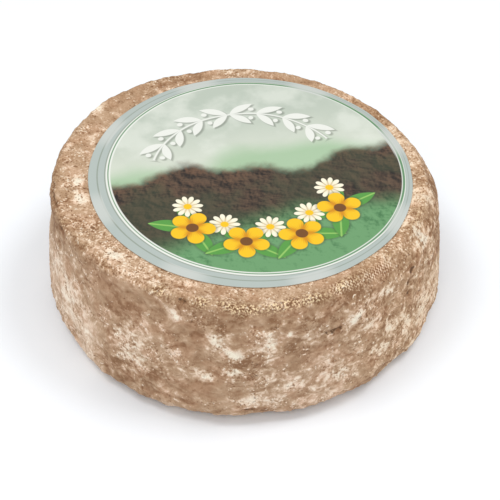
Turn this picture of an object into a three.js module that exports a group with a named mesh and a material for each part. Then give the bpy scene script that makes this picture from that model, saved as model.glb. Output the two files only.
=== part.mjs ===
// A whole wheel of goat tomme with a round paper label on its top face.
// Millimetres, +Z up. The origin is the middle of the flat face that the wheel rests on.
import * as THREE from "three";
import { mergeVertices } from "three/addons/utils/BufferGeometryUtils.js";

// Driving dimensions of the wheel, read up its side from the foot to the top face.
const FOOT_RADIUS = 80; // flat face that the wheel rests on
const FOOT_ROUNDING = 10; // height of the rounded lower edge
const BELLY_RADIUS = 93; // widest, low on the side, because the young cheese slumps
const SHOULDER_RADIUS = 89; // where the side meets the rounding of the upper edge
const SHOULDER_ROUNDING = 12; // height of the rounded upper edge
const RIM_RADIUS = 83; // where the top face starts to turn down
const WHEEL_HEIGHT = 67; // middle of the top face
const TOP_FALL = 0.024; // the top face drops this far for each millimetre towards +X
const LEAN = 0.3; // the shoulder sits this far towards -X of the foot
const RIM_SHIFT = 2.5; // the top face sits this much further that way, so the upper edge is broad at +X

// The label is a die-cut disc of stout paper, stuck on a little off centre.
const LABEL_RADIUS = 75;
const LABEL_THICKNESS = 0.3;
const LABEL_GAP = 0.3; // glue and air between the paper and the rind
const LABEL_MIDDLE = new THREE.Vector2(2.5, 1);

// A hand-turned wheel is out of round. Each wave has its number of lobes,
// its height in millimetres and the bearing of one peak in degrees.
const UPPER_WAVES = [
  { lobes: 2, height: 0.75, peak: 0 },
  { lobes: 3, height: 0.55, peak: 28 },
  { lobes: 4, height: 0.8, peak: 7 },
  { lobes: 5, height: 0.8, peak: -9 },
];
const LOWER_WAVES = [
  { lobes: 2, height: 0.75, peak: 28 },
  { lobes: 3, height: 0.8, peak: 2 },
  { lobes: 4, height: 0.9, peak: 9 },
  { lobes: 5, height: 1.0, peak: 26 },
];

// The rind is lumpy at two scales, has a low pressed ridge round its rim, and is pitted.
const LUMPS = { seed: 11, wavelength: 34, waves: 14, height: 0.32 };
const KNOBS = { seed: 23, wavelength: 13, waves: 18, height: 0.14 };
const PRESSED_SHARE = 0.3; // share of the lumps that is left under the label, where the face was pressed
const RIDGE = { radius: 83.5, width: 2.6, height: 0.6 };
const PITS = { seed: 5, count: 18, radius: [2.6, 4.5], depth: [0.4, 0.9], level: [8, 60] };
const FOOT_FADE = 6; // the foot stays flat, and the unevenness grows to full over this height

// Facets
const SEGMENTS = 150;
const RING_STEP = 3.4; // along the side and the edges
const FACE_STEP = 11; // across the top face
const LABEL_SEGMENTS = 96;
const LABEL_RINGS = 5;

const RIND_COLOUR = 0xb8987c;
const LABEL_COLOUR = 0xb4c4b2;

const UP = new THREE.Vector3(0, 0, 1);
const degrees = THREE.MathUtils.degToRad;
const { lerp, smoothstep } = THREE.MathUtils;

// Seeded numbers from 0 to 1, the same on every run.
function seededRandom(seed) {
  let state = seed;
  return () => {
    state = (state + 0x6d2b79f5) >>> 0;
    let mixed = Math.imul(state ^ (state >>> 15), state | 1);
    mixed ^= mixed + Math.imul(mixed ^ (mixed >>> 7), mixed | 61);
    return ((mixed ^ (mixed >>> 14)) >>> 0) / 2 ** 32;
  };
}

// A smooth bumpy field made of plane waves in random directions, in millimetres.
function bumpyField({ seed, wavelength, waves, height }) {
  const random = seededRandom(seed);
  const directions = Array.from({ length: waves }, () => {
    const z = 2 * random() - 1;
    const turn = 2 * Math.PI * random();
    const flat = Math.sqrt(1 - z * z);
    const stretch = ((0.7 + 0.6 * random()) * 2 * Math.PI) / wavelength;
    return {
      wave: new THREE.Vector3(flat * Math.cos(turn), flat * Math.sin(turn), z).multiplyScalar(stretch),
      phase: 2 * Math.PI * random(),
    };
  });
  const scale = height * Math.sqrt(2 / waves);
  return (point) =>
    scale * directions.reduce((sum, { wave, phase }) => sum + Math.sin(wave.dot(point) + phase), 0);
}

// Shallow hollows, spread evenly round the side by the golden angle.
function pitPlaces() {
  const random = seededRandom(PITS.seed);
  const goldenAngle = Math.PI * (3 - Math.sqrt(5));
  return Array.from({ length: PITS.count }, (_, i) => {
    const azimuth = i * goldenAngle;
    const level = lerp(PITS.level[0], PITS.level[1], random());
    const reach = level > WHEEL_HEIGHT - SHOULDER_ROUNDING ? SHOULDER_RADIUS : BELLY_RADIUS;
    return {
      middle: new THREE.Vector3(reach * Math.cos(azimuth), reach * Math.sin(azimuth), level),
      radius: lerp(PITS.radius[0], PITS.radius[1], random()),
      depth: lerp(PITS.depth[0], PITS.depth[1], random()),
    };
  });
}

function isTopFace(point) {
  return point.z > WHEEL_HEIGHT - 0.01;
}

function aboveShoulder(point) {
  return smoothstep(point.z, WHEEL_HEIGHT - SHOULDER_ROUNDING, WHEEL_HEIGHT);
}

const lumps = bumpyField(LUMPS);
const knobs = bumpyField(KNOBS);
const pits = pitPlaces();

function outOfRound(waves, azimuth) {
  return waves.reduce(
    (sum, { lobes, height, peak }) => sum + height * Math.cos(lobes * (azimuth - degrees(peak))),
    0,
  );
}

// Lumps and knobs at a point of the even wheel. They are pressed down under the label.
function unevenness(point) {
  const fromMiddle = Math.hypot(point.x, point.y);
  const onFace = isTopFace(point) ? 1 - smoothstep(fromMiddle, LABEL_RADIUS, RIM_RADIUS) : 0;
  const pressed = lerp(1, PRESSED_SHARE, onFace);
  return pressed * (lumps(point) + (1 - onFace) * knobs(point));
}

function ridge(point) {
  const away = (Math.hypot(point.x, point.y) - RIDGE.radius) / RIDGE.width;
  return RIDGE.height * aboveShoulder(point) * Math.exp(-away * away);
}

function pitDepth(point) {
  return pits.reduce((sum, { middle, radius, depth }) => {
    const away = point.distanceTo(middle) / radius;
    return sum + depth * Math.exp(-away * away);
  }, 0);
}

// Moves a point of the even wheel, with its outward normal, to its place on the real one.
function settle(point, normal) {
  const share = point.z / WHEEL_HEIGHT;
  const azimuth = Math.atan2(point.y, point.x);
  const fromMiddle = Math.hypot(point.x, point.y);
  const wave = lerp(outOfRound(LOWER_WAVES, azimuth), outOfRound(UPPER_WAVES, azimuth), share);
  const grow = 1 + (wave / BELLY_RADIUS) * Math.min(1, fromMiddle / FOOT_RADIUS);
  const relief = unevenness(point) + ridge(point) - pitDepth(point);
  const grown = smoothstep(point.z, 0, FOOT_FADE);
  point.x = point.x * grow - LEAN * share - RIM_SHIFT * aboveShoulder(point);
  point.y *= grow;
  point.z -= TOP_FALL * point.x * share;
  return point.addScaledVector(normal, relief * grown);
}

// Turns a profile of (radius, height) points round +Z into one closed body with no doubled points.
function turned(profile, segments) {
  const lathe = new THREE.LatheGeometry(profile, segments);
  lathe.deleteAttribute("normal");
  lathe.deleteAttribute("uv");
  const merged = mergeVertices(lathe).rotateX(Math.PI / 2);
  const corners = merged.index.array;
  const kept = [];
  for (let i = 0; i < corners.length; i += 3) {
    const [a, b, c] = corners.slice(i, i + 3);
    if (a !== b && b !== c && c !== a) kept.push(a, b, c);
  }
  return merged.setIndex(kept);
}

// Half of the wheel's section, from the middle of the foot round to the middle of the top face.
function wheelProfile() {
  const shoulderLevel = WHEEL_HEIGHT - SHOULDER_ROUNDING;
  const section = new THREE.Path()
    .moveTo(0, 0)
    .lineTo(FOOT_RADIUS, 0)
    .absellipse(FOOT_RADIUS, FOOT_ROUNDING, BELLY_RADIUS - FOOT_RADIUS, FOOT_ROUNDING, -Math.PI / 2, 0)
    .bezierCurveTo(
      BELLY_RADIUS,
      lerp(FOOT_ROUNDING, shoulderLevel, 0.4),
      lerp(SHOULDER_RADIUS, BELLY_RADIUS, 0.45),
      lerp(FOOT_ROUNDING, shoulderLevel, 0.7),
      SHOULDER_RADIUS,
      shoulderLevel,
    )
    .bezierCurveTo(
      lerp(SHOULDER_RADIUS, RIM_RADIUS, 0.25),
      shoulderLevel + 0.6 * SHOULDER_ROUNDING,
      lerp(SHOULDER_RADIUS, RIM_RADIUS, 0.5),
      WHEEL_HEIGHT,
      RIM_RADIUS,
      WHEEL_HEIGHT,
    )
    .lineTo(LABEL_RADIUS, WHEEL_HEIGHT)
    .lineTo(0, WHEEL_HEIGHT);
  const steps = [FOOT_RADIUS, RING_STEP, RING_STEP, RING_STEP / 1.5, RING_STEP, FACE_STEP];
  const curves = section.curves.filter((curve) => curve.getLength() > 0);
  const rings = curves.flatMap((curve, i) => {
    const pieces = Math.round(curve.getLength() / steps[i]);
    return curve.getSpacedPoints(pieces).slice(0, -1);
  });
  return [...rings, new THREE.Vector2(0, WHEEL_HEIGHT)];
}

function makeWheel() {
  const body = turned(wheelProfile(), SEGMENTS);
  body.computeVertexNormals();
  const { position, normal } = body.attributes;
  const point = new THREE.Vector3();
  const outward = new THREE.Vector3();
  for (let i = 0; i < position.count; i += 1) {
    point.fromBufferAttribute(position, i);
    outward.fromBufferAttribute(normal, i);
    const moved = settle(point, isTopFace(point) ? UP : outward);
    position.setXYZ(i, moved.x, moved.y, moved.z);
  }
  body.computeVertexNormals();
  const rind = new THREE.MeshStandardMaterial({ color: RIND_COLOUR, roughness: 0.92, metalness: 0 });
  const wheel = new THREE.Mesh(body, rind);
  wheel.name = "wheel";
  return wheel;
}

// Height of the settled top face above the foot, where it carries the label.
function faceHeight(x, y) {
  const point = new THREE.Vector3(x + LEAN + RIM_SHIFT, y, WHEEL_HEIGHT);
  return settle(point, UP).z;
}

function makeLabel() {
  const across = Array.from({ length: LABEL_RINGS + 1 }, (_, i) => (LABEL_RADIUS * i) / LABEL_RINGS);
  const under = across.map((radius) => new THREE.Vector2(radius, 0));
  const over = across.toReversed().map((radius) => new THREE.Vector2(radius, LABEL_THICKNESS));
  const body = turned([...under, ...over], LABEL_SEGMENTS);
  body.translate(LABEL_MIDDLE.x, LABEL_MIDDLE.y, LABEL_GAP);
  const { position } = body.attributes;
  for (let i = 0; i < position.count; i += 1) {
    position.setZ(i, position.getZ(i) + faceHeight(position.getX(i), position.getY(i)));
  }
  body.computeVertexNormals();
  const paper = new THREE.MeshStandardMaterial({ color: LABEL_COLOUR, roughness: 0.45, metalness: 0 });
  const label = new THREE.Mesh(body, paper);
  label.name = "label";
  return label;
}

const tomme = new THREE.Group();
tomme.name = "goat_tomme";
tomme.add(makeWheel(), makeLabel());

export default tomme;
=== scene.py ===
# Looks of a whole goat tomme: a mottled natural rind and a printed paper label. Metres, +Z up.
import math

import bpy
import numpy as np
from mathutils import Matrix, Vector, noise


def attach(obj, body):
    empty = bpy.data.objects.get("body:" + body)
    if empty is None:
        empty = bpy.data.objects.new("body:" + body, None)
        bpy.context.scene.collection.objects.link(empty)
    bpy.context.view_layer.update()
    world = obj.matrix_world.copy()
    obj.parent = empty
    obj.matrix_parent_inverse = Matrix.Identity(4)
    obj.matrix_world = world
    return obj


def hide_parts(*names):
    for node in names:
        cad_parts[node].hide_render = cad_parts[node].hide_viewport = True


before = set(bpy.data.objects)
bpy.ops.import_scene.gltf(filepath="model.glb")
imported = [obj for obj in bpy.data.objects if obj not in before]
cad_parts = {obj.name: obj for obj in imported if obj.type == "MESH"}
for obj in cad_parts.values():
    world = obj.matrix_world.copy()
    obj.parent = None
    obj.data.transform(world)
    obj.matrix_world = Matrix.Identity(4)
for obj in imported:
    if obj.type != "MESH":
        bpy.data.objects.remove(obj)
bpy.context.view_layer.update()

MM = 0.001
# Heights and radii that differ by less than this many millimetres count as equal.
TOLERANCE = 0.01

# Driving dimensions of the wheel in millimetres, read up its side from the foot to the top face.
FOOT_RADIUS = 80
FOOT_ROUNDING = 10
BELLY_RADIUS = 93
SHOULDER_RADIUS = 89
SHOULDER_ROUNDING = 12
RIM_RADIUS = 83
WHEEL_HEIGHT = 67
TOP_FALL = 0.024
LEAN = 0.3
RIM_SHIFT = 2.5

LABEL_RADIUS = 75
LABEL_THICKNESS = 0.3
LABEL_GAP = 0.3
LABEL_MIDDLE = (2.5, 1)
# The rind's fine relief starts and is full at these millimetres past the edge of the label.
LABEL_SHELTER = (-1, 1.5)

# Out-of-round waves: number of lobes, height in millimetres, bearing of one peak in degrees.
UPPER_WAVES = ((2, 0.75, 0), (3, 0.55, 28), (4, 0.8, 7), (5, 0.8, -9))
LOWER_WAVES = ((2, 0.75, 28), (3, 0.8, 2), (4, 0.9, 9), (5, 1.0, 26))

# The unevenness that the solids have too.
LUMPS = {"seed": 11, "wavelength": 34, "waves": 14, "height": 0.32}
KNOBS = {"seed": 23, "wavelength": 13, "waves": 18, "height": 0.14}
PRESSED_SHARE = 0.3
RIDGE_RADIUS = 83.5
RIDGE_WIDTH = 2.6
RIDGE_HEIGHT = 0.6
PIT_SEED = 5
PIT_COUNT = 18
PIT_RADII = (2.6, 4.5)
PIT_DEPTHS = (0.4, 0.9)
PIT_LEVELS = (8, 60)
FOOT_FADE = 6

# Finer relief that only shows close up: size of its grains and its height, in millimetres.
CRUST_SIZE = 5.5
CRUST_HEIGHT = 0.4
GRAIN_SIZE = 2.2
GRAIN_HEIGHT = 0.2
MOULD_RISE = 0.15
CRACK_DEPTH = 0.9
# Crumbly bits near the foot: the heights where they start, are full, start to fade and end.
CRAG_SIZE = 4.5
CRAG_HEIGHT = 0.8
CRAG_LEVELS = (1, 4, 11, 18)
# The looks of the rim give way to those of the side between these millimetres below the rim.
TOP_EDGE = (1, 6)
# Beaded crest of the upper edge, strongest between two bearings, whose ends fade over some degrees.
BEAD_SIZE = 2.4
BEAD_HEIGHT = 0.55
CREST_BELOW = 1.5
CREST_HALF_HEIGHT = 2.3
CREST_BEARINGS = (-116, -58)
CREST_ENDS = 8
CREST_ELSEWHERE = 0.3
CREST_WANDER = 1.6
CREST_WANDER_LENGTH = 14
CREST_PATCHES = 11
# Crumbly lip along the left of the upper edge, with a broken groove under it.
LIP_SIZE = 3.0
LIP_BELOW = -0.8
LIP_HALF_HEIGHT = 1.6
LIP_HEIGHT = 0.8
LIP_BEARINGS = (-186, -104)
LIP_ENDS = 12
LIP_WANDER = 1.2
LIP_WANDER_LENGTH = 9
GROOVE_BELOW = 1.8
GROOVE_HALF_HEIGHT = 1.1
GROOVE_DEPTH = 0.8
GROOVE_BREAKS = 7
# The part of the rim that is sandy.
SANDY_BEARINGS = (-146, -112)
SANDY_ENDS = 18

# Mesh spacing in millimetres along the profile, and the number of steps round it.
AROUND = 720
FOOT_STEP = 13
EDGE_STEP = 0.8
SHOULDER_STEP = 0.62
RIM_STEP = 0.75
FACE_STEP = 15
HIDDEN_RADIUS = 69
CURVE_SAMPLES = 400

# Flat maps that the colours are baked through, in shares of their width.
# The wheel's strips have this many millimetres to the whole.
MAP_MILLIMETRES = 300
MAP_MARGIN = 0.012
MAP_ROW = 0.32
MAP_DISC = 0.16
MAP_FOOT = (0.18, 0.82)
MAP_FACE = (0.55, 0.82)
MAP_PRINT = 0.49
MAP_CUT = 0.007
MAP_UNDER = (0.075, 0.075)
MAP_UNDER_REACH = 0.07

# Features of the rind by place: bearing in degrees, millimetres below the rim, half width, half height
# and strength. Pale mould comes first, then browner places.
PALE_FIELDS = (
    (-109, 11, 3, 3, 0.9),
    (-97.5, 21, 6, 4.6, 1.0),
    (-92.5, 25, 7, 4.2, 1.0),
    (-82.5, 18, 6, 8, 0.75),
    (-77, 15, 2.4, 2.6, 1.0),
    (-56.5, 19, 6, 5, 0.9),
    (-50, 27, 6, 4, 0.5),
    (-44, 36, 4, 4, 0.65),
    (-44, 16, 5, 3, 0.75),
    (-122, 38, 12, 13, 0.7),
    (-100.5, 40, 5, 3, 0.8),
    (-93, 36.5, 6.5, 2.6, 0.8),
    (-133.5, -4.5, 4, 3, 1.0),
    (-74, 43, 12, 7, 0.45),
    (-63, 46, 12, 8, 0.55),
    (-21.7, 7.6, 6, 6, 0.95),
    (-20.6, -1.7, 4, 3, 0.35),
    (-6.4, 2.1, 4, 5, 0.5),
    (-174.4, -9, 5, 2.5, 0.9),
    (-166.3, -9.5, 5, 2.5, 0.9),
    (-176, 34, 12, 14, 0.2),
    (-157, 24, 10, 14, 0.25),
    (-149.5, 32, 10, 14, 0.35),
    (-23.8, 44, 8, 10, 0.5),
    (-17, 21, 5, 6, 0.45),
    (-38.5, 38, 7, 6, 0.45),
    (-47.5, 46, 8, 5, 0.5),
    (-113, 19, 2.6, 2.6, 0.65),
    (-109, 31, 5, 5, 0.5),
    (-87, 53, 7, 4, 0.6),
    (-150, 44, 13, 18, 0.3),
    (-70.5, 20, 6, 4, 0.5),
    (-63, 8.5, 3, 2, 0.4),
    (-36, 48, 10, 12, 0.35),
)
BROWN_FIELDS = (
    (-122, 9, 10, 6, 0.9),
    (-106, 19, 9, 6, 0.8),
    (-87, 7.5, 15, 5, 0.9),
    (-96, 47, 9, 5, 0.7),
    (-122, 63, 16, 5, 0.8),
    (-76, 32, 7, 5, 0.6),
    (-52, 58, 14, 6, 0.5),
    (140, -4, 14, 6, 1.0),
    (124, -3, 14, 6, 0.9),
)
# Broad stretches that are paler, or darker where the strength is below 0. Some are the rind's own tone, and
# some are painted light and shade, such as the paler left side and right edge of the wheel.
WASHES_AND_PAINTED_LIGHT = (
    (-163, 41, 16, 20, 1.7),
    (-158, -11, 10, 6, 0.6),
    (-152, 28, 10, 14, 1.0),
    (-145, 54, 12, 14, 1.1),
    (-142, 63, 12, 7, 1.3),
    (-138, 42, 8, 16, 1.6),
    (-127, -1, 8, 8, 1.1),
    (-123, 4, 12, 5, 0.7),
    (-106, -9, 13, 5, 0.6),
    (-115, 60, 8, 6, 0.7),
    (-99, 55, 9, 6, 0.7),
    (-90, 5, 6, 3, 0.5),
    (-79, 35, 6, 7, 0.7),
    (-76, 60, 8, 5, 0.7),
    (-69, 39, 8, 7, 1.0),
    (-67, 6.5, 6, 4, 0.6),
    (-65, 60, 12, 8, 1.4),
    (-62, -9, 14, 4, 1.7),
    (-55, 34, 10, 7, 0.8),
    (-50, 53, 14, 8, 0.6),
    (-38, 3, 12, 6, 0.5),
    (-28, 48, 9, 16, 1.0),
    (-12, 43, 12, 14, 2.3),
    (-9, -5, 14, 5, 1.6),
    (18, -3, 12, 6, 1.6),
    (179, 2, 9, 4, -1.2),
    (-160, 14, 9, 7, -1.2),
    (-127, 23, 9, 10, -1.0),
    (-126, 51, 12, 11, -1.0),
    (-117, 45, 8, 7, -1.2),
    (-95, 16, 8, 5, -1.2),
    (-91, 32, 7, 6, -2.2),
    (-84, 60, 8, 5, -0.9),
    (-74, 12, 12, 5, -0.9),
    (-75, 21, 10, 5, -0.7),
    (-62, 42, 7, 5, -0.8),
    (-63, 22, 6, 5, -0.4),
    (-54, 4, 14, 5, -1.6),
    (-22, 1.5, 10, 5, -0.7),
    (-11, 28, 9, 7, -1.3),
    (110, -1.5, 13, 6, -2.0),
    (1, 7, 8, 4, -1.9),
    (128, 0, 12, 7, -0.6),
)
# A band of painted shade under the upper edge, which makes the side browner there: its bearings, how far
# its ends fade, and its middle below the rim.
SHADE_BAND_BEARINGS = (-190, -50)
SHADE_BAND_ENDS = 20
SHADE_BAND_BELOW = 5.5
SHADE_BAND_HALF_HEIGHT = 3.6
SHADE_BAND_STRENGTH = 0.5
# Cracks and crags, by place as above, darkened with painted shade.
CRACKS = (
    (-63.5, 21, 4.6, 1.1, 1.2),
    (-106, 3, 3.2, 1.4, 0.65),
    (-31, 16, 2.2, 1.4, 0.95),
    (-33.8, 20.5, 1.5, 1.6, 0.85),
    (-34, 26.5, 1.8, 1.2, 0.75),
    (-168, 1.6, 11, 0.9, 0.7),
    (-156, 4.8, 3.5, 1.1, 0.7),
    (-28, 33, 2.2, 1.0, 0.6),
    (-140, 17, 2.4, 1.0, 0.6),
    (-88, 60, 4, 0.9, 0.7),
)
# The imprint of the mould's cloth along the upper edge: its bearings, the millimetres below the rim
# at each, the pitch of its dashes and rows, and the size of its worn places.
WEAVE_BEARINGS = (-66, -22)
WEAVE_BELOW = (1.2, 6.8)
WEAVE_HALF_HEIGHT = 2.8
WEAVE_PITCH = 1.6
WEAVE_ROW = 2.4
WEAVE_WEAR = 6
# From the middle of the wheel to its right side, in millimetres, the rind's colour gets more contrast, as
# painted light and shade that stands in for raking light on its relief, and gets warmer.
RAKING_LIGHT_SIDE = (30, 80)
# The hidden side has fields like these, spread by a rule: how many, their half sizes and their strengths.
BACK_BEARINGS = (24, 160)
BACK_BELOW = (-6, 62)
BACK_FLATNESS = (0.5, 1.1)
BACK_PALE = {"count": 26, "half_sizes": (2.5, 14), "strengths": (0.5, 1.0)}
BACK_BROWN = {"count": 10, "half_sizes": (6, 16), "strengths": (0.6, 0.9)}
BACK_CRACKS = {"count": 6, "half_sizes": (1.6, 4), "strengths": (0.6, 1.0)}
BACK_WASHES = {"count": 12, "half_sizes": (8, 16), "strengths": (-0.9, 0.9)}
BACK_SEED = 41
# How far the crust bends the outlines of all these fields.
OUTLINE_BEND = 0.45

# Camera, in millimetres and degrees.
CAMERA_TARGET = (2.5, 0, 20.8)
CAMERA_DISTANCE = 740
CAMERA_ELEVATION = 42.72
CAMERA_ROLL = 0.54
CAMERA_LENS = 110.2
SENSOR = 36

# Lamps by name: place, width and power, in metres and watts. All point at the wheel.
LAMPS = {
    "left": ((-0.55, -0.15, 1.4), 0.5, 4.4),
    "right": ((0.6, 0.06, 1.4), 0.5, 5.4),
    "front": ((-0.1, -1.0, 1.1), 0.8, 4.0),
}
LAMP_AIM = (0, 0, 0.03)
WORLD_STRENGTH = 0.66
FLOOR_COLOUR = (0.905, 0.94, 0.98, 1)
FLOOR_ROUGHNESS = 0.9
FLOOR_HALF_WIDTH = 3.0
FLOOR_DROP = 0.2 * MM


def srgb(red, green, blue):
    """A display colour, 0 to 255, as the linear colour that a shader takes."""
    shares = (red / 255, green / 255, blue / 255)
    return tuple(c / 12.92 if c <= 0.04045 else ((c + 0.055) / 1.055) ** 2.4 for c in shares) + (1.0,)


def smooth(values, low, high):
    share = np.clip((values - low) / (high - low), 0, 1)
    return share * share * (3 - 2 * share)


def blend(first, second, share):
    return first + (second - first) * share


# Seeded numbers, the same as in the part's source.
def seeded_random(seed):
    mask = 0xFFFFFFFF
    state = seed

    def draw():
        nonlocal state
        state = (state + 0x6D2B79F5) & mask
        value = ((state ^ (state >> 15)) * (state | 1)) & mask
        value ^= (value + ((value ^ (value >> 7)) * (value | 61))) & mask
        return (value ^ (value >> 14)) / 2**32

    return draw


def bumpy_field(seed, wavelength, waves, height):
    draw = seeded_random(seed)
    directions = []
    phases = []
    for _ in range(waves):
        z = 2 * draw() - 1
        turn = 2 * math.pi * draw()
        flat = math.sqrt(1 - z * z)
        stretch = (0.7 + 0.6 * draw()) * 2 * math.pi / wavelength
        directions.append((stretch * flat * math.cos(turn), stretch * flat * math.sin(turn), stretch * z))
        phases.append(2 * math.pi * draw())
    matrix = np.array(directions).T
    scale = height * math.sqrt(2 / waves)
    return lambda points: scale * np.sin(points @ matrix + np.array(phases)).sum(-1)


def pit_places():
    draw = seeded_random(PIT_SEED)
    golden_angle = math.pi * (3 - math.sqrt(5))
    places = []
    for i in range(PIT_COUNT):
        level = blend(*PIT_LEVELS, draw())
        reach = SHOULDER_RADIUS if level > WHEEL_HEIGHT - SHOULDER_ROUNDING else BELLY_RADIUS
        middle = (reach * math.cos(i * golden_angle), reach * math.sin(i * golden_angle), level)
        places.append((middle, blend(*PIT_RADII, draw()), blend(*PIT_DEPTHS, draw())))
    return places


lumps = bumpy_field(**LUMPS)
knobs = bumpy_field(**KNOBS)
pits = pit_places()


def out_of_round(waves, azimuth):
    return sum(height * np.cos(lobes * (azimuth - math.radians(peak))) for lobes, height, peak in waves)


def is_top_face(points):
    return points[..., 2] > WHEEL_HEIGHT - TOLERANCE


def above_shoulder(points):
    return smooth(points[..., 2], WHEEL_HEIGHT - SHOULDER_ROUNDING, WHEEL_HEIGHT)


def relief_of_solid(points):
    """Height of the unevenness that the solids have, in millimetres along the outward normal."""
    from_middle = np.hypot(points[..., 0], points[..., 1])
    on_face = np.where(is_top_face(points), 1 - smooth(from_middle, LABEL_RADIUS, RIM_RADIUS), 0)
    relief = blend(1, PRESSED_SHARE, on_face) * (lumps(points) + (1 - on_face) * knobs(points))
    away = (from_middle - RIDGE_RADIUS) / RIDGE_WIDTH
    relief += RIDGE_HEIGHT * above_shoulder(points) * np.exp(-(away**2))
    for middle, radius, depth in pits:
        distance = np.linalg.norm(points - np.array(middle), axis=-1) / radius
        relief -= depth * np.exp(-(distance**2))
    return relief


def settle(points, normals, extra=0):
    """Moves points of the even wheel to their places on the real one."""
    share = points[..., 2] / WHEEL_HEIGHT
    azimuth = np.arctan2(points[..., 1], points[..., 0])
    from_middle = np.hypot(points[..., 0], points[..., 1])
    wave = blend(out_of_round(LOWER_WAVES, azimuth), out_of_round(UPPER_WAVES, azimuth), share)
    grow = 1 + wave / BELLY_RADIUS * np.minimum(1, from_middle / FOOT_RADIUS)
    relief = (relief_of_solid(points) + extra) * smooth(points[..., 2], 0, FOOT_FADE)
    moved = np.empty_like(points)
    moved[..., 0] = points[..., 0] * grow - LEAN * share - RIM_SHIFT * above_shoulder(points)
    moved[..., 1] = points[..., 1] * grow
    moved[..., 2] = points[..., 2] - TOP_FALL * moved[..., 0] * share
    return moved + normals * relief[..., None]


def line(start, end):
    return lambda t: np.outer(1 - t, start) + np.outer(t, end)


def quarter_ellipse(centre, across, up):
    def place(t):
        angle = -math.pi / 2 * (1 - t)
        return np.stack([centre[0] + across * np.cos(angle), centre[1] + up * np.sin(angle)], 1)

    return place


def bezier(*points):
    def place(t):
        weights = np.stack([(1 - t) ** 3, 3 * t * (1 - t) ** 2, 3 * t * t * (1 - t), t**3], 1)
        return weights @ np.array(points, float)

    return place


def spaced(curve, step):
    """Points at even steps along a curve, without its last."""
    t = np.linspace(0, 1, CURVE_SAMPLES)
    points = curve(t)
    length = np.concatenate([[0], np.cumsum(np.linalg.norm(np.diff(points, axis=0), axis=1))])
    count = max(1, round(length[-1] / step))
    even = np.linspace(0, length[-1], count + 1)
    return curve(np.interp(even, length, t))[:-1]


def wheel_profile():
    """Radius and height of each ring, from the middle of the foot to the middle of the top face."""
    shoulder = WHEEL_HEIGHT - SHOULDER_ROUNDING
    side = bezier(
        (BELLY_RADIUS, FOOT_ROUNDING),
        (BELLY_RADIUS, blend(FOOT_ROUNDING, shoulder, 0.4)),
        (blend(SHOULDER_RADIUS, BELLY_RADIUS, 0.45), blend(FOOT_ROUNDING, shoulder, 0.7)),
        (SHOULDER_RADIUS, shoulder),
    )
    upper_edge = bezier(
        (SHOULDER_RADIUS, shoulder),
        (blend(SHOULDER_RADIUS, RIM_RADIUS, 0.25), shoulder + 0.6 * SHOULDER_ROUNDING),
        (blend(SHOULDER_RADIUS, RIM_RADIUS, 0.5), WHEEL_HEIGHT),
        (RIM_RADIUS, WHEEL_HEIGHT),
    )
    lower_edge = quarter_ellipse((FOOT_RADIUS, FOOT_ROUNDING), BELLY_RADIUS - FOOT_RADIUS, FOOT_ROUNDING)
    return np.concatenate(
        [
            spaced(line((0, 0), (FOOT_RADIUS, 0)), FOOT_STEP),
            spaced(lower_edge, EDGE_STEP),
            spaced(side, EDGE_STEP),
            spaced(upper_edge, SHOULDER_STEP),
            spaced(line((RIM_RADIUS, WHEEL_HEIGHT), (HIDDEN_RADIUS, WHEEL_HEIGHT)), RIM_STEP),
            spaced(line((HIDDEN_RADIUS, WHEEL_HEIGHT), (0, WHEEL_HEIGHT)), FACE_STEP),
            [(0, WHEEL_HEIGHT)],
        ]
    )


def fields_of_the_back(draw, count, half_sizes, strengths):
    """Fields like the ones that show, spread over the bearings that the photograph doesn't reach."""
    made = []
    for i in range(count):
        bearing = blend(*BACK_BEARINGS, (i + draw()) / count)
        below = blend(*BACK_BELOW, draw())
        wide = blend(*half_sizes, draw() ** 2)
        high = wide * blend(*BACK_FLATNESS, draw())
        made.append((bearing, below, wide, high, blend(*strengths, draw())))
    return tuple(made)


def field_strength(fields, azimuth, below, warp, join=np.maximum):
    """The fields joined at each point, as the strongest or as a sum. The warp bends their outlines."""
    result = np.zeros(np.broadcast(azimuth, below).shape)
    for bearing, middle, wide, high, strength in fields:
        turn = (np.degrees(azimuth) - bearing + 180) % 360 - 180
        around = np.radians(turn) * BELLY_RADIUS
        distance = np.hypot(around / wide, (below - middle) / high) + warp
        result = join(result, strength * np.exp(-(np.maximum(distance, 0) ** 2)))
    return result


def noise_at(points, size, octaves):
    """Cloudy values round 0. Callers shift the points where two features would line up otherwise."""
    flat = points.reshape(-1, 3) / size
    values = [noise.fractal(Vector(p), 0.9, 2.0, octaves) for p in flat]
    return np.array(values).reshape(points.shape[:-1])


def beads_at(points, size):
    """Rounded grains, 1 at the middle of each and 0 between them."""
    flat = points.reshape(-1, 3) / size
    nearest = np.array([noise.voronoi(Vector(p))[0][0] for p in flat])
    return np.clip(1 - (nearest / 0.62) ** 2, 0, 1).reshape(points.shape[:-1])


def grid_faces(rings, around):
    """Faces between rings, counted from first to last, where the first and the last are poles."""
    ring = np.arange(rings - 3)[:, None] * around
    step = np.arange(around)[None, :]
    after = (step + 1) % around
    corner = 1 + ring
    quads = np.stack([corner + step, corner + after, corner + around + after, corner + around + step], -1)
    last = 1 + (rings - 3) * around
    pole = last + around
    start = [(0, (j + 1) % around + 1, j + 1) for j in range(around)]
    end = [(last + j, last + (j + 1) % around, pole) for j in range(around)]
    return start + quads.reshape(-1, 4).tolist() + end


def with_poles(grid):
    """A grid's values in a row, with one for each pole."""
    return np.concatenate([grid[0, :1], grid[1:-1].reshape(-1, *grid.shape[2:]), grid[-1, :1]])


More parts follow.
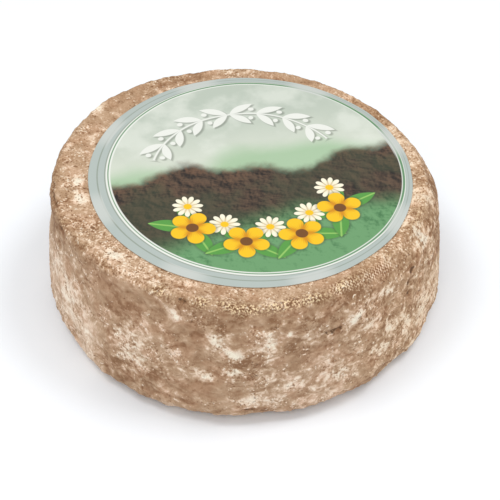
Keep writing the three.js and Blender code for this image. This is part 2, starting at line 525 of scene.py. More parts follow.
def grid_corners(rings, around):
    """For each corner of the grid's faces: its face's row and step, its ring and its part of a turn."""
    step = np.arange(around)[:, None]

    def row_of_faces(row, ring, ahead):
        turn = (step + np.array(ahead)) / around
        values = np.broadcast_arrays(row, step, np.array(ring), turn)
        return np.stack(values, -1).reshape(-1, 4)

    rows = [row_of_faces(0, (0, 1, 1), (0.5, 1, 0))]
    for row in range(1, rings - 2):
        rows.append(row_of_faces(row, (row, row, row + 1, row + 1), (0, 1, 1, 0)))
    rows.append(row_of_faces(rings - 2, (rings - 2, rings - 2, rings - 1), (0, 1, 0.5)))
    row, step_of, ring, turn = np.concatenate(rows).T
    return row, step_of, ring.astype(int), turn


def disc_place(middle, reach, turn):
    angle = 2 * math.pi * turn
    return np.stack([middle[0] + reach * np.cos(angle), middle[1] + reach * np.sin(angle)], -1)


def lay_flat(piece, places):
    """Gives a piece the flat map that its colours are baked through."""
    layer = piece.data.uv_layers.new(name="OFBake")
    layer.data.foreach_set("uv", places.ravel().astype(np.float32))


def new_mesh(name, points, faces, material):
    mesh = bpy.data.meshes.new(name)
    mesh.from_pydata((points * MM).tolist(), [], faces)
    mesh.polygons.foreach_set("use_smooth", [True] * len(mesh.polygons))
    mesh.materials.append(material)
    mesh.update()
    piece = bpy.data.objects.new(name, mesh)
    bpy.context.collection.objects.link(piece)
    return piece


def add_values(piece, name, values):
    layer = piece.data.attributes.new(name, "FLOAT", "POINT")
    layer.data.foreach_set("value", values.astype(np.float32))


class Field:
    """A number that varies over a surface, worked out by math nodes."""

    def __init__(self, tree, socket):
        self.tree = tree
        self.socket = socket

    def math(self, operation, *values):
        node = self.tree.nodes.new("ShaderNodeMath")
        node.operation = operation
        for socket, value in zip(node.inputs, values):
            put(socket, value)
        return Field(self.tree, node.outputs[0])

    def __add__(self, other):
        return self.math("ADD", self, other)

    def __radd__(self, other):
        return self.math("ADD", other, self)

    def __sub__(self, other):
        return self.math("SUBTRACT", self, other)

    def __rsub__(self, other):
        return self.math("SUBTRACT", other, self)

    def __mul__(self, other):
        return self.math("MULTIPLY", self, other)

    def __rmul__(self, other):
        return self.math("MULTIPLY", other, self)

    def __truediv__(self, other):
        return self.math("DIVIDE", self, other)

    def sin(self):
        return self.math("SINE", self)

    def cos(self):
        return self.math("COSINE", self)

    def angle_to(self, across):
        """The bearing of a point, with this field as its way up."""
        return self.math("ARCTAN2", self, across)

    def part_turn(self):
        """What is left of the number after its whole part."""
        return self.math("FRACT", self)

    def size(self):
        return self.math("ABSOLUTE", self)

    def root(self):
        return self.math("SQRT", self)

    def least(self, other):
        return self.math("MINIMUM", self, other)

    def most(self, other):
        return self.math("MAXIMUM", self, other)

    def step(self, low, high):
        """Smoothly from 0 at low to 1 at high."""
        node = self.tree.nodes.new("ShaderNodeMapRange")
        node.interpolation_type = "SMOOTHSTEP"
        put(node.inputs["Value"], self)
        put(node.inputs["From Min"], low)
        put(node.inputs["From Max"], high)
        return Field(self.tree, node.outputs["Result"])


def put(socket, value):
    """Links a field to a socket, or sets a plain value on it."""
    if isinstance(value, Field):
        value.tree.links.new(value.socket, socket)
    else:
        socket.default_value = value


def new_material(name):
    material = bpy.data.materials.new(name)
    material.use_nodes = True
    tree = material.node_tree
    return material, tree, tree.nodes["Principled BSDF"]


def object_millimetres(tree, turn=0, middle=(0, 0), scale=(1, 1, 1)):
    """Object coordinates in millimetres, turned by an angle about a middle."""
    place = tree.nodes.new("ShaderNodeTexCoord")
    mapping = tree.nodes.new("ShaderNodeMapping")
    mapping.inputs["Scale"].default_value = [s / MM for s in scale]
    mapping.inputs["Rotation"].default_value = (0, 0, -turn)
    moved = Matrix.Rotation(-turn, 3, "Z") @ Vector((*middle, 0))
    mapping.inputs["Location"].default_value = -moved
    tree.links.new(place.outputs["Object"], mapping.inputs["Vector"])
    return Field(tree, mapping.outputs["Vector"])


def split(vector):
    node = vector.tree.nodes.new("ShaderNodeSeparateXYZ")
    put(node.inputs[0], vector)
    return [Field(vector.tree, socket) for socket in node.outputs]


def noise_texture(vector, size, detail=4.0, roughness=0.5, distortion=0.0):
    """Cloudy values round 0.5, with features of about this many millimetres."""
    node = vector.tree.nodes.new("ShaderNodeTexNoise")
    put(node.inputs["Vector"], vector)
    node.inputs["Scale"].default_value = 1 / size
    node.inputs["Detail"].default_value = detail
    node.inputs["Roughness"].default_value = roughness
    node.inputs["Distortion"].default_value = distortion
    return Field(vector.tree, node.outputs["Fac"])


def attribute(tree, name):
    node = tree.nodes.new("ShaderNodeAttribute")
    node.attribute_name = name
    return Field(tree, node.outputs["Fac"])


def mixed(share, first, second, how="MIX"):
    node = share.tree.nodes.new("ShaderNodeMix")
    node.data_type = "RGBA"
    node.blend_type = how
    put(node.inputs[0], share)
    put(node.inputs[6], first)
    put(node.inputs[7], second)
    return Field(share.tree, node.outputs[2])


# Rind colours from the deepest brown to the palest crust, as they would show in even white light.
RIND_TONES = (
    (0.24, srgb(136, 101, 73)),
    (0.36, srgb(168, 136, 107)),
    (0.46, srgb(187, 157, 129)),
    (0.56, srgb(214, 187, 162)),
    (0.66, srgb(235, 215, 193)),
    (0.80, srgb(245, 230, 210)),
)
RIND_BLUSH = srgb(255, 249, 247)
RIND_WARMTH = srgb(255, 251, 243)
MOULD_CREAM = srgb(246, 236, 214)
MOULD_GREY = srgb(232, 217, 196)
# The crest's colours hold painted highlight and painted shade, and the crack colour is painted shade.
CREST_GOLD_AND_HIGHLIGHT = srgb(242, 218, 176)
CREST_SHADE = srgb(112, 78, 48)
SPECK_CREAM = srgb(240, 223, 198)
SPECK_DARK = srgb(88, 64, 46)
CRACK_SHADE = srgb(96, 68, 46)

# Sizes of the clouds, crumbs and specks in the rind's colour, in millimetres.
LARGE_CLOUDS = 26
BROAD_CLOUDS = 12
BLUSHES = 9
CRUMBLY_PLACES = 8
MIDDLE_CLOUDS = 5
MOTTLES = 3.2
SMALL_CRUMBS = 1.8
FLECKS = 1.1
FINE_GRAINS = 0.95
SPECKS = 0.9
CLOUD_FLATNESS = 1.35
RIND_ROUGHNESS = 0.88
RIND_GLOSS = 0.25
BUMP_STRENGTH = 0.9
BUMP_DISTANCE = 0.6 * MM


def ramp(share, stops):
    """A run of colours, each at its own place between 0 and 1."""
    node = share.tree.nodes.new("ShaderNodeValToRGB")
    put(node.inputs["Fac"], share)
    elements = node.color_ramp.elements
    while len(elements) < len(stops):
        elements.new(1.0)
    for element, (position, colour) in zip(elements, stops):
        element.position = position
        element.color = colour
    return Field(share.tree, node.outputs["Color"])


def threads(place):
    """Rows of short dashes along the upper edge, between -1 and 1."""
    x, y, z = split(place)
    around = y.angle_to(x) * (RIM_RADIUS * 2 * math.pi / WEAVE_PITCH)
    outward = ((x * x + y * y).root() - z) * (2 * math.pi / WEAVE_ROW)
    return (around + 1.4 * outward.sin()).sin()


def rind_material():
    material, tree, shader = new_material("tomme_rind")
    place = object_millimetres(tree)
    flattened = object_millimetres(tree, scale=(1, 1, CLOUD_FLATNESS))
    on_top = attribute(tree, "on_top")
    pale = attribute(tree, "pale")
    brown = attribute(tree, "brown")
    tone_and_painted_light = attribute(tree, "tone_and_painted_light")
    crest = attribute(tree, "crest")
    crack = attribute(tree, "crack")
    weave = attribute(tree, "weave")
    relief = attribute(tree, "relief")
    sandy = attribute(tree, "sandy")
    # Painted raking light: more contrast in the colour towards the right side.
    painted_raking_light = split(place)[0].step(*RAKING_LIGHT_SIDE)

    # Clouds and crumbs of several sizes, each round 0. The fine crumbs stand apart on a smoother ground.
    large = noise_texture(flattened, LARGE_CLOUDS, 3, 0.5, 0.5) - 0.5
    broad = noise_texture(flattened, BROAD_CLOUDS, 4, 0.5, 0.8) - 0.5
    middle = noise_texture(flattened, MIDDLE_CLOUDS, 3, 0.5, 1.0) - 0.5
    mottle = noise_texture(place, MOTTLES, 2, 0.5, 0.8) - 0.5
    small = noise_texture(place, SMALL_CRUMBS, 1, 0.6, 0.6) - 0.5
    grain = noise_texture(place, FINE_GRAINS, 1, 0.5) - 0.5
    even = small * 0.7 + grain * (0.8 + 0.2 * on_top)
    fine = even * (0.15 + 28 * even * even)

    # Where the rind is crumbly, and where a pale film covers it.
    crumbly = noise_texture(place, CRUMBLY_PLACES, 3, 0.55, 0.6) + 0.1 * pale - 0.1 * brown
    crumbly = crumbly.step(0.46, 0.66)
    cover = 0.5 + 0.7 * broad + 0.5 * middle + 0.5 * pale - 0.3 * brown
    patch = cover.step(0.44, 0.80)
    frost = (cover + 0.45 * fine + 0.35 * mottle).step(0.54, 0.90)

    # How pale the rind is: its own tone, with painted light and shade in it. The top face is paler, partly
    # its own tone and partly painted light.
    # The relief is painted as well: darker in its hollows as painted shade, and paler on its crumbs as
    # painted light.
    tone = 0.374 + 0.055 * on_top - 0.04 * brown + 0.1 * tone_and_painted_light + 0.16 * relief + 0.15 * patch + 0.2 * large
    tone = tone + (0.36 - 0.1 * on_top + 0.25 * painted_raking_light) * middle
    tone = tone + (0.15 + 0.3 * patch - 0.1 * on_top + 0.3 * sandy + 0.25 * painted_raking_light) * mottle
    roughened = 0.12 + 0.75 * crumbly + 0.15 * on_top + 0.4 * sandy + 0.3 * painted_raking_light - 0.1 * brown
    tone = tone + roughened * fine
    tone = tone + frost * (0.10 + 0.6 * crumbly * fine) + weave * (0.05 + 0.26 * threads(place))
    colour = ramp(tone, RIND_TONES)
    colour = mixed(noise_texture(place, BLUSHES, 2).step(0.42, 0.66), colour, RIND_BLUSH, "MULTIPLY")
    colour = mixed(painted_raking_light + 0.5 * on_top, colour, RIND_WARMTH, "MULTIPLY")

    # Creamy mould, then cream and dark specks.
    mould = (0.33 + 0.72 * pale + 0.7 * middle + 0.4 * fine + 0.4 * mottle - 0.2 * brown).step(0.70, 1.08)
    colour = mixed(mould, colour, mixed(mottle.step(-0.10, 0.10), MOULD_GREY, MOULD_CREAM))
    flecks = noise_texture(place, FLECKS, 3, 0.7, 0.4)
    cream = 0.08 + 0.2 * patch + 0.7 * crumbly + 0.2 * on_top + 0.3 * sandy
    dark = 0.06 + 0.6 * crumbly + 0.1 * on_top + 0.3 * sandy
    colour = mixed(flecks.step(0.62, 0.70) * cream, colour, SPECK_CREAM)
    colour = mixed(flecks.step(0.41, 0.32) * dark, colour, SPECK_DARK)
    pepper = noise_texture(place, SPECKS, 1).step(0.31, 0.25)
    colour = mixed(pepper * (0.15 + 0.5 * crumbly + 0.35 * painted_raking_light), colour, SPECK_DARK)

    # The crest's beads: golden, partly their own colour and partly painted highlight on their tops, with
    # painted shade between them; then the cracks, darkened with painted shade.
    sugar = noise_texture(place, SPECKS, 2, 0.6)
    colour = mixed(crest * sugar.step(0.53, 0.61), colour, CREST_GOLD_AND_HIGHLIGHT)
    colour = mixed(crest * sugar.step(0.50, 0.42) * 0.9, colour, CREST_SHADE)
    # Painted shade darkens the cracks.
    colour = mixed((crack * (1.0 + 6 * small + 3 * grain)).step(0.35, 0.85) * 0.9, colour, CRACK_SHADE)
    tree.links.new(colour.socket, shader.inputs["Base Color"])

    bump = tree.nodes.new("ShaderNodeBump")
    bump.inputs["Strength"].default_value = BUMP_STRENGTH
    bump.inputs["Distance"].default_value = BUMP_DISTANCE
    put(bump.inputs["Height"], (0.4 + 0.8 * frost) * even + 0.2 * mould + 0.8 * crest * sugar)
    tree.links.new(bump.outputs["Normal"], shader.inputs["Normal"])
    shader.inputs["Roughness"].default_value = RIND_ROUGHNESS
    shader.inputs["Specular IOR Level"].default_value = RIND_GLOSS
    return material


def within_bearings(azimuth, bearings, ends):
    """1 between two bearings in degrees, falling smoothly to 0 past them."""
    start, end = bearings
    away = np.abs((np.degrees(azimuth) - (start + end) / 2 + 180) % 360 - 180)
    half = (end - start) / 2
    return 1 - smooth(away, half, half + ends)


def crest_strength(azimuth, below, points):
    """Where the crest of the upper edge is beaded: all round, strongest at the front."""
    wander = CREST_WANDER * noise_at(points, CREST_WANDER_LENGTH, 2)
    band = np.exp(-(((below - CREST_BELOW + wander) / CREST_HALF_HEIGHT) ** 2))
    patchy = smooth(noise_at(points + 50, CREST_PATCHES, 2), -0.35, 0.35)
    front = within_bearings(azimuth, CREST_BEARINGS, CREST_ENDS)
    return band * patchy * blend(CREST_ELSEWHERE, 1, front)


def painted_shade_band(azimuth, below, warp):
    """How much painted shade makes the side browner right under the upper edge."""
    height = np.exp(-(((below - SHADE_BAND_BELOW) / SHADE_BAND_HALF_HEIGHT + 2 * warp) ** 2))
    return SHADE_BAND_STRENGTH * height * within_bearings(azimuth, SHADE_BAND_BEARINGS, SHADE_BAND_ENDS)


def lip_height(azimuth, below, points):
    """A crumbly lip along the left of the upper edge, with a broken groove under it."""
    wander = LIP_WANDER * noise_at(points + 20, LIP_WANDER_LENGTH, 2)
    lip = np.exp(-(((below - LIP_BELOW + wander) / LIP_HALF_HEIGHT) ** 2))
    lip = LIP_HEIGHT * lip * (beads_at(points + 30, LIP_SIZE) - 0.2)
    groove = np.exp(-(((below - GROOVE_BELOW + wander) / GROOVE_HALF_HEIGHT) ** 2))
    groove = GROOVE_DEPTH * groove * smooth(noise_at(points + 40, GROOVE_BREAKS, 2), -0.3, 0.3)
    return within_bearings(azimuth, LIP_BEARINGS, LIP_ENDS) * (lip - groove)


def weave_strength(azimuth, below, points):
    """Where the cloth of the mould has left its imprint on the upper edge."""
    start, end = WEAVE_BEARINGS
    share = ((np.degrees(azimuth) - start) % 360) / (end - start)
    middle = blend(*WEAVE_BELOW, np.clip(share, 0, 1))
    ends = smooth(share, 0, 0.2) * (1 - smooth(share, 0.35, 1))
    worn = smooth(noise_at(points + 70, WEAVE_WEAR, 2), -0.5, 0.3)
    return ends * worn * np.exp(-(((below - middle) / WEAVE_HALF_HEIGHT) ** 2))


def crag_height(points):
    """Crumbly bits of crust along the lower edge."""
    start, full, fade, end = CRAG_LEVELS
    level = points[..., 2]
    band = smooth(level, start, full) * (1 - smooth(level, fade, end))
    return CRAG_HEIGHT * band * np.clip(noise_at(points + 90, CRAG_SIZE, 3), -0.25, 1)


def bare_of_label(points, normals):
    """1 where the rind shows, and 0 under the label, which lies flat on it."""
    settled = settle(points, normals)
    across = settled[..., 0] - LABEL_MIDDLE[0]
    up = settled[..., 1] - LABEL_MIDDLE[1]
    beyond = np.hypot(across, up) - LABEL_RADIUS
    return np.where(is_top_face(points), smooth(beyond, *LABEL_SHELTER), 1)


def wheel_map(profile, along):
    """The side as two strips of half a turn each, under the discs of the foot and of the hidden face."""
    row, step, ring, turn = grid_corners(len(profile), AROUND)
    foot = np.argmax(profile[:, 0] >= FOOT_RADIUS)
    hidden = len(profile) - 1 - np.argmax(profile[::-1, 0] >= HIDDEN_RADIUS - TOLERANCE)
    second = step >= AROUND / 2
    across = MAP_MARGIN + (2 * turn - second) * (1 - 2 * MAP_MARGIN)
    up = MAP_MARGIN + second * MAP_ROW + (along[ring] - along[foot]) / MAP_MILLIMETRES
    reach = MAP_DISC * profile[ring, 0] / FOOT_RADIUS
    places = np.stack([across, up], -1)
    places = np.where((row < foot)[:, None], disc_place(MAP_FOOT, reach, turn), places)
    return np.where((row >= hidden)[:, None], disc_place(MAP_FACE, reach, turn), places)


def make_wheel():
    profile = wheel_profile()
    lengths = np.linalg.norm(np.diff(profile, axis=0), axis=1)
    along = np.concatenate([[0], np.cumsum(lengths)])
    rim = along[np.argmax(profile[:, 1] >= WHEEL_HEIGHT - TOLERANCE)]
    below = (rim - along)[:, None]
    azimuth = np.arange(AROUND)[None, :] * (2 * math.pi / AROUND)
    outward = np.stack([profile[:, 0:1] * np.cos(azimuth), profile[:, 0:1] * np.sin(azimuth)], -1)
    height = np.broadcast_to(profile[:, 1:2], outward.shape[:2])
    points = np.concatenate([outward, height[..., None]], -1)
    slope = np.gradient(profile, axis=0)
    slope /= np.linalg.norm(slope, axis=1, keepdims=True)
    slope[profile[:, 1] > WHEEL_HEIGHT - TOLERANCE] = (-1, 0)
    out = slope[:, 1:2]
    up = np.tile(-slope[:, 0:1], AROUND)
    normals = np.stack([out * np.cos(azimuth), out * np.sin(azimuth), up], -1)

    draw = seeded_random(BACK_SEED)
    pale_fields = PALE_FIELDS + fields_of_the_back(draw, **BACK_PALE)
    brown_fields = BROWN_FIELDS + fields_of_the_back(draw, **BACK_BROWN)
    cracks = CRACKS + fields_of_the_back(draw, **BACK_CRACKS)
    washes_and_painted_light = WASHES_AND_PAINTED_LIGHT + fields_of_the_back(draw, **BACK_WASHES)
    crust = noise_at(points, CRUST_SIZE, 3)
    warp = OUTLINE_BEND * crust
    pale = field_strength(pale_fields, azimuth, below, warp)
    brown = field_strength(brown_fields, azimuth, below, warp)
    crack = field_strength(cracks, azimuth, below, 0.5 * warp)
    # The washes hold painted light and shade beside the rind's own tone, and the band under the upper edge
    # is painted shade.
    tone_and_painted_light = field_strength(washes_and_painted_light, azimuth, below, 0.5 * warp, np.add) - painted_shade_band(azimuth, below, warp)
    on_top = 1 - smooth(below + 3 * warp, *TOP_EDGE)
    sandy = on_top * within_bearings(azimuth, SANDY_BEARINGS, SANDY_ENDS)
    crest = crest_strength(azimuth, below, points)
    weave = weave_strength(azimuth, below, points)
    fine = CRUST_HEIGHT * crust + GRAIN_HEIGHT * noise_at(points, GRAIN_SIZE, 2)
    fine += BEAD_HEIGHT * crest * (beads_at(points, BEAD_SIZE) - 0.4)
    fine += MOULD_RISE * pale - CRACK_DEPTH * crack
    fine += crag_height(points) + lip_height(azimuth, below, points)
    settled = settle(points, normals, fine * bare_of_label(points, normals))

    faces = grid_faces(len(profile), AROUND)
    wheel = new_mesh("tomme_wheel", with_poles(settled), faces, rind_material())
    fields = {
        "pale": pale,
        "brown": brown,
        "tone_and_painted_light": tone_and_painted_light,
        "crest": crest,
        "crack": crack,
        "weave": weave,
        "on_top": on_top,
        "relief": fine,
        "sandy": sandy,
    }
    for name, values in fields.items():
        add_values(wheel, name, with_poles(values))
    lay_flat(wheel, wheel_map(profile, along))
    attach(wheel, "root")
    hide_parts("wheel")


# Label print, in millimetres from the middle of the label.
LABEL_TURN = math.radians(14)
LABEL_AROUND = 256
LABEL_RINGS = 60
LABEL_EDGE = 0.2
PRINT_SHARPNESS = 0.25
PRINT_RELIEF = 0.8
LABEL_ROUGHNESS = 0.42
LABEL_GLOSS = 0.35

SILVER = srgb(172, 182, 177)
SILVER_GLINT = srgb(196, 200, 195)
LINE_GREY = srgb(142, 152, 140)
LINE_GREEN = srgb(96, 138, 100)
SKY_TOP = srgb(180, 190, 177)
SKY_LOW = srgb(206, 212, 198)
HAZE_GREEN = srgb(154, 186, 148)
CLOUD_WHITE = srgb(222, 226, 216)
HILL_SHADE = srgb(30, 24, 20)
HILL_BROWN = srgb(58, 45, 36)
HILL_RUST = srgb(100, 69, 50)
HILL_LIT = srgb(108, 85, 66)
WOOD_GREEN = srgb(62, 70, 50)
MEADOW_DARK = srgb(62, 112, 68)
MEADOW_GREEN = srgb(104, 152, 104)
LEAF_GREEN = srgb(84, 150, 66)
LEAF_LIGHT = srgb(140, 188, 96)
PETAL_GOLD = srgb(238, 190, 22)
GOLD_SHADE = srgb(206, 138, 8)
PETAL_CREAM = srgb(244, 236, 212)
CREAM_SHADE = srgb(206, 190, 150)
HEART_BROWN = srgb(112, 70, 26)
PRINT_SHADOW = srgb(58, 62, 48)
PAPER_WHITE = srgb(226, 228, 221)

# Rings round the picture, from the inside out: radius, middle and the colour outside that circle.
RINGS = (
    (67.6, (3.0, 1.2), PAPER_WHITE),
    (68.2, (2.8, 1.2), LINE_GREEN),
    (69.0, (3.1, 1.3), PAPER_WHITE),
    (69.6, (2.8, 1.0), LINE_GREY),
    (70.0, (2.6, 1.0), SILVER),
    (72.0, (1.6, 0.9), LINE_GREY),
    (72.4, (1.4, 0.8), SILVER),
)
# Soft painted glints round the silver print: how many, the bearing of one, and the radius outside which
# they show.
GLINTS = 8
GLINT_BEARING = math.radians(-127)
GLINT_FROM = 70
GLINT_SHARE = 0.8
# Edges of the landscape: level, then the height, length and phase of each of its waves.
FAR_HILLS = (15.0, (5, 17, 0.6), (2.5, 7, 2.0))
BROWN_SLOPE = (6.0, (5, 15, 3.4), (2.2, 6, 0.4))
MEADOW = (-33.0, (3.5, 20, 1.2))
MEADOW_RISE = 0.12
CLOUD_SIZE = 26
GROUND_SIZE = 9
# Wreath of flowers along the lower edge: each kind's distance from the middle, radius, petals and bearings.
GOLD_FLOWERS = {"out": 46, "radius": 10.5, "petals": 5, "bearings": (-138, -106, -74, -42)}
CREAM_FLOWERS = {"out": 37, "radius": 7, "petals": 11, "bearings": (-154, -122, -90, -58, -26)}
LEAF_HEADINGS = (-128, -62, 62, 128)
LEAF_LENGTH = 20
LEAF_HALF_WIDTH = 3.8
VEINS_PER_PETAL = 7
GARLAND_RADIUS = 46
GARLAND_HALF_ANGLE = math.radians(66)
GARLAND_STEP = 13
GARLAND_LEAF = {"heading": 34, "length": 13, "half_width": 2.1}
GARLAND_LEAF_START = (0.6, 0.3)
BERRY_RADIUS = 1.3
BERRY_PLACE = (11, 3.4)
STEM_HALF_WIDTH = 0.45


def waves_of(x, base, *waves):
    total = base
    for height, length, phase in waves:
        total = total + height * (x / length + phase).sin()
    return total


def printed(depth):
    """1 inside a printed shape and 0 outside it, from the depth inside its outline."""
    return depth.step(-PRINT_SHARPNESS, PRINT_SHARPNESS)


def distance(x, y, middle=(0, 0)):
    across = x - middle[0]
    up = y - middle[1]
    return (across * across + up * up).root()


def leaf_depth(x, y, start, heading, length, half_width):
    """How far inside a pointed leaf each place is, and how far it is from its middle vein."""
    turn = math.radians(heading)
    across = x - start[0]
    up = y - start[1]
    along = (across * math.cos(turn) + up * math.sin(turn)) / length
    aside = (up * math.cos(turn) - across * math.sin(turn)).size()
    return 4 * half_width * along * (1 - along) - aside, aside


def spot_of(flowers, bearing):
    """The middle of the flower at this bearing."""
    turn = math.radians(bearing)
    return flowers["out"] * math.cos(turn), flowers["out"] * math.sin(turn)


def paint_leaf(colour, x, y, start, heading):
    depth, aside = leaf_depth(x, y, start, heading, LEAF_LENGTH, LEAF_HALF_WIDTH)
    face = mixed(aside.step(0.25, 0.6), LEAF_LIGHT, LEAF_GREEN)
    colour = mixed(0.5 * depth.step(-1.6, 0.4), colour, PRINT_SHADOW)
    return mixed(printed(depth), colour, face)


def paint_flower(colour, x, y, flowers, bearing, petal, shade, heart):
    middle = spot_of(flowers, bearing)
    radius = flowers["radius"]
    petals = flowers["petals"]
    rho = distance(x, y, middle)
    turned = (y - middle[1]).angle_to(x - middle[0])
    lobe = (turned * (petals / 2) + math.radians(bearing)).cos().size()
    vein = (turned * (petals * VEINS_PER_PETAL)).cos()
    depth = radius * (0.42 + 0.58 * lobe.root()) - rho
    out = rho / radius
    face = mixed((out + 0.5 * lobe + 0.07 * vein).step(0.45, 1.1), shade, petal)
    colour = mixed(0.55 * depth.step(-1.8, 0.4), colour, PRINT_SHADOW)
    colour = mixed(printed(depth), colour, face)
    return mixed(printed(0.27 * radius - rho), colour, heart)


def garland_depth(x, y):
    """A spray of leaves along an arc, the same on both sides of its middle."""
    rho = distance(x, y)
    from_middle = x.angle_to(y).size()
    along = (from_middle * GARLAND_RADIUS / GARLAND_STEP).part_turn() * GARLAND_STEP
    aside = (rho - GARLAND_RADIUS).size()
    leaf, _ = leaf_depth(along, aside, GARLAND_LEAF_START, **GARLAND_LEAF)
    berry = BERRY_RADIUS - distance(along, aside, BERRY_PLACE)
    stem = STEM_HALF_WIDTH - aside
    whole = leaf.most(berry).most(stem)
    return whole.least((GARLAND_HALF_ANGLE - from_middle) * GARLAND_RADIUS)


def scenery(place, x, y):
    """Pale sky over misty hills, a brown slope and a meadow."""
    cloud = noise_texture(place, CLOUD_SIZE, 4, 0.5)
    detail = noise_texture(place, GROUND_SIZE, 6, 0.6)
    beside = object_millimetres(place.tree, LABEL_TURN, [m - PRINT_RELIEF for m in LABEL_MIDDLE])
    lit = (detail - noise_texture(beside, GROUND_SIZE, 6, 0.6)).step(-0.11, 0.11)
    colour = mixed((y + 22 * cloud).step(62, 14), SKY_TOP, SKY_LOW)
    colour = mixed(0.55 * (cloud + 0.2 * detail).step(0.54, 0.74), colour, CLOUD_WHITE)
    far = waves_of(x, *FAR_HILLS)
    colour = mixed((far - y + 14 * (cloud - 0.5)).step(-8, 8) * 0.85, colour, HAZE_GREEN)
    near = waves_of(x, *BROWN_SLOPE)
    slope = mixed((detail + 0.008 * y).step(0.42, 0.68), HILL_BROWN, HILL_RUST)
    slope = mixed(0.6 * lit, mixed(lit, HILL_SHADE, slope), HILL_LIT)
    slope = mixed(0.55 * (cloud + 0.4 * detail - 0.006 * y).step(0.68, 0.86), slope, WOOD_GREEN)
    colour = mixed((near - y + 10 * (detail - 0.5)).step(-4, 4), colour, slope)
    field = waves_of(x, *MEADOW) + MEADOW_RISE * x
    grass = mixed((detail + 0.5 * lit - 0.01 * y).step(0.62, 1.3), MEADOW_DARK, MEADOW_GREEN)
    return mixed((field - y + 14 * (cloud - 0.5)).step(-9, 9), colour, grass)


def label_material():
    material, tree, shader = new_material("tomme_label")
    place = object_millimetres(tree, LABEL_TURN, LABEL_MIDDLE)
    x, y, _ = split(place)
    colour = scenery(place, x, y)
    shadow = garland_depth(x - 0.7, y + 0.9)
    colour = mixed(0.45 * shadow.step(-0.9, 0.5), colour, PRINT_SHADOW)
    colour = mixed(printed(garland_depth(x, y)), colour, PAPER_WHITE)
    for bearing in GOLD_FLOWERS["bearings"]:
        for heading in LEAF_HEADINGS:
            colour = paint_leaf(colour, x, y, spot_of(GOLD_FLOWERS, bearing), bearing + heading)
    for bearing in CREAM_FLOWERS["bearings"]:
        colour = paint_flower(colour, x, y, CREAM_FLOWERS, bearing, PETAL_CREAM, CREAM_SHADE, PETAL_GOLD)
    for bearing in GOLD_FLOWERS["bearings"]:
        colour = paint_flower(colour, x, y, GOLD_FLOWERS, bearing, PETAL_GOLD, GOLD_SHADE, HEART_BROWN)
    for radius, middle, ring_colour in RINGS:
        colour = mixed(printed(distance(x, y, middle) - radius), colour, ring_colour)
    # Painted highlight: glints on the silver ring.
    glint = ((y.angle_to(x) - GLINT_BEARING) * GLINTS).cos().step(0, 1)
    colour = mixed(GLINT_SHARE * glint * printed(distance(x, y) - GLINT_FROM), colour, SILVER_GLINT)
    colour = mixed(attribute(tree, "print"), PAPER_WHITE, colour)
    tree.links.new(colour.socket, shader.inputs["Base Color"])
    shader.inputs["Roughness"].default_value = LABEL_ROUGHNESS
    shader.inputs["Specular IOR Level"].default_value = LABEL_GLOSS
    return material


def face_height(x, y):
    """Height of the settled top face under the label."""
    points = np.stack([x + LEAN + RIM_SHIFT, y, np.full_like(x, WHEEL_HEIGHT)], -1)
    return settle(points, np.broadcast_to((0.0, 0.0, 1.0), points.shape))[..., 2]


def label_map(across):
    """The print as one large disc, with its cut edge round it and the underside small in a corner."""
    row, _, ring, turn = grid_corners(len(across), LABEL_AROUND)
    edge = len(across) // 2 - 1
    share = across[ring] / LABEL_RADIUS
    reach = np.where((row == edge) & (ring == edge), MAP_PRINT + MAP_CUT, MAP_PRINT * share)
    under = disc_place(MAP_UNDER, MAP_UNDER_REACH * share, turn)
    return np.where((row < edge)[:, None], under, disc_place((0.5, 0.5), reach, turn))


def make_label():
    radii = np.append(np.linspace(0, LABEL_RADIUS - LABEL_EDGE, LABEL_RINGS), LABEL_RADIUS)
    across = np.concatenate([radii, radii[::-1]])
    level = np.concatenate([np.zeros_like(radii), np.full_like(radii, LABEL_THICKNESS)]) + LABEL_GAP
    azimuth = np.arange(LABEL_AROUND)[None, :] * (2 * math.pi / LABEL_AROUND)
    x = LABEL_MIDDLE[0] + across[:, None] * np.cos(azimuth)
    y = LABEL_MIDDLE[1] + across[:, None] * np.sin(azimuth)
    points = np.stack([x, y, face_height(x, y) + level[:, None]], -1)
    faces = grid_faces(len(across), LABEL_AROUND)
    label = new_mesh("tomme_label", with_poles(points), faces, label_material())
    print_side = np.repeat([0, 1], len(radii))[:, None] * np.ones(LABEL_AROUND)
    add_values(label, "print", with_poles(print_side))
    lay_flat(label, label_map(across))
    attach(label, "root")
    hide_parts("label")


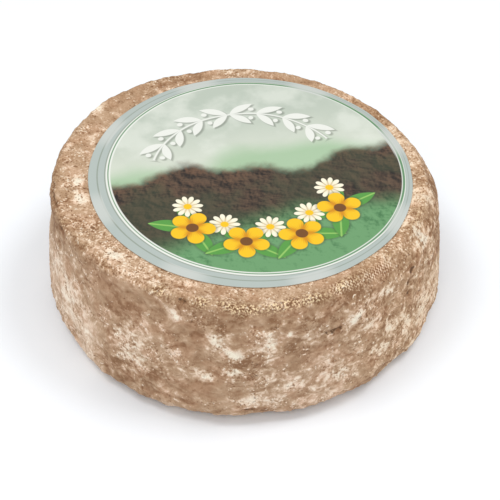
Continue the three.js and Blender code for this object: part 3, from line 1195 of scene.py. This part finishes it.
def make_floor():
    half = FLOOR_HALF_WIDTH
    corners = [(-half, -half, 0), (half, -half, 0), (half, half, 0), (-half, half, 0)]
    mesh = bpy.data.meshes.new("floor")
    mesh.from_pydata(corners, [], [(0, 1, 2, 3)])
    floor = bpy.data.objects.new("floor", mesh)
    floor.location.z = -FLOOR_DROP
    bpy.context.collection.objects.link(floor)
    material, _, shader = new_material("floor_white")
    shader.inputs["Base Color"].default_value = FLOOR_COLOUR
    shader.inputs["Roughness"].default_value = FLOOR_ROUGHNESS
    shader.inputs["Specular IOR Level"].default_value = 0.0
    mesh.materials.append(material)


def make_lamp(name, place, width, power):
    data = bpy.data.lights.new(name, "AREA")
    data.shape = "DISK"
    data.size = width
    data.energy = power
    lamp = bpy.data.objects.new(name, data)
    lamp.location = place
    direction = Vector(LAMP_AIM) - Vector(place)
    lamp.rotation_euler = direction.to_track_quat("-Z", "Y").to_euler()
    bpy.context.collection.objects.link(lamp)


def make_world():
    world = bpy.data.worlds.new("studio")
    world.use_nodes = True
    background = world.node_tree.nodes["Background"]
    background.inputs["Color"].default_value = (1, 1, 1, 1)
    background.inputs["Strength"].default_value = WORLD_STRENGTH
    bpy.context.scene.world = world


def make_camera():
    data = bpy.data.cameras.new("camera")
    data.sensor_width = SENSOR
    data.lens = CAMERA_LENS
    camera = bpy.data.objects.new("camera", data)
    elevation = math.radians(CAMERA_ELEVATION)
    back = Vector((0, -math.cos(elevation), math.sin(elevation)))
    right = Vector((1, 0, 0))
    up = back.cross(right)
    roll = math.radians(CAMERA_ROLL)
    turned_right = math.cos(roll) * right + math.sin(roll) * up
    turned_up = back.cross(turned_right)
    eye = (Vector(CAMERA_TARGET) + CAMERA_DISTANCE * back) * MM
    axes = Matrix((turned_right, turned_up, back)).transposed()
    camera.matrix_world = Matrix.Translation(eye) @ axes.to_4x4()
    bpy.context.collection.objects.link(camera)
    bpy.context.scene.camera = camera


make_camera()
make_wheel()
make_label()
make_floor()
make_world()
for lamp_name, lamp_setting in LAMPS.items():
    make_lamp(lamp_name, *lamp_setting)
bpy.context.scene.view_settings.view_transform = "Standard"
